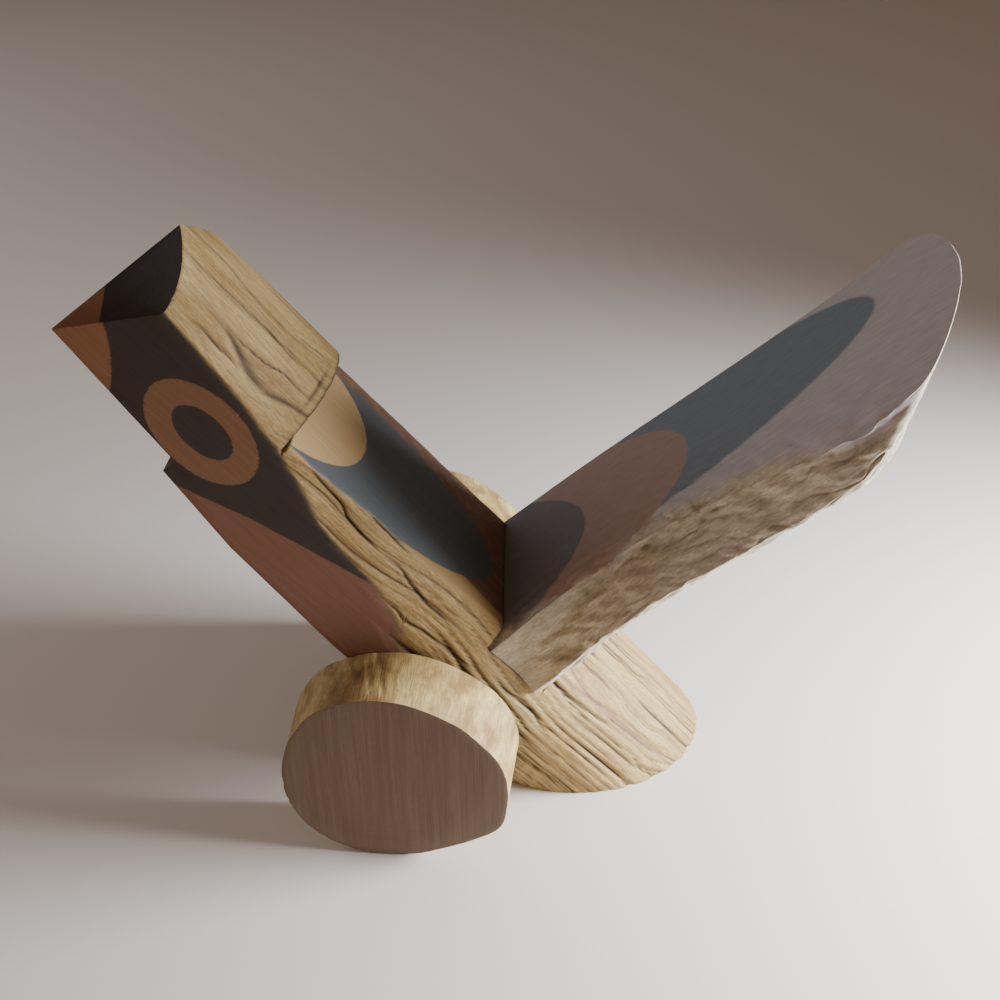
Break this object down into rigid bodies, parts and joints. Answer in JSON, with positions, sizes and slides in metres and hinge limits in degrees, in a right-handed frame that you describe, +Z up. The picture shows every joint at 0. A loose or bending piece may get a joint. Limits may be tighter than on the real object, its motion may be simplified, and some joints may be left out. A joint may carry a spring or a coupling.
{
  "type": "rustic log aeroplane model",
  "caption": "Sculptural aeroplane of sawn natural log: leaning painted fuselage with a flat foot, a tall split-log blade in a notch and log-slice wheels.",
  "frame": {"origin": "middle of the object's box, on the floor it stands on", "axes": "+X from the nose towards the foot and the raised blade, +Y from the left wheel to the right wheel, +Z up"},
  "size_m": [0.2309, 0.108, 0.1932],
  "materials": {
    "debarked_log": "bare debarked log, matt flat-painted saw cuts",
    "sawn_slice": "raw sawn end grain, matt",
    "dowel": "plain turned dowel"
  },
  "bodies": {
    "root": {"fuselage_log": "debarked_log", "wing_blade": "debarked_log", "left_wheel": "sawn_slice", "right_wheel": "sawn_slice", "wheel_dowel": "dowel", "wing_dowel_near": "dowel", "wing_dowel_far": "dowel"}
  },
  "joints": []
}
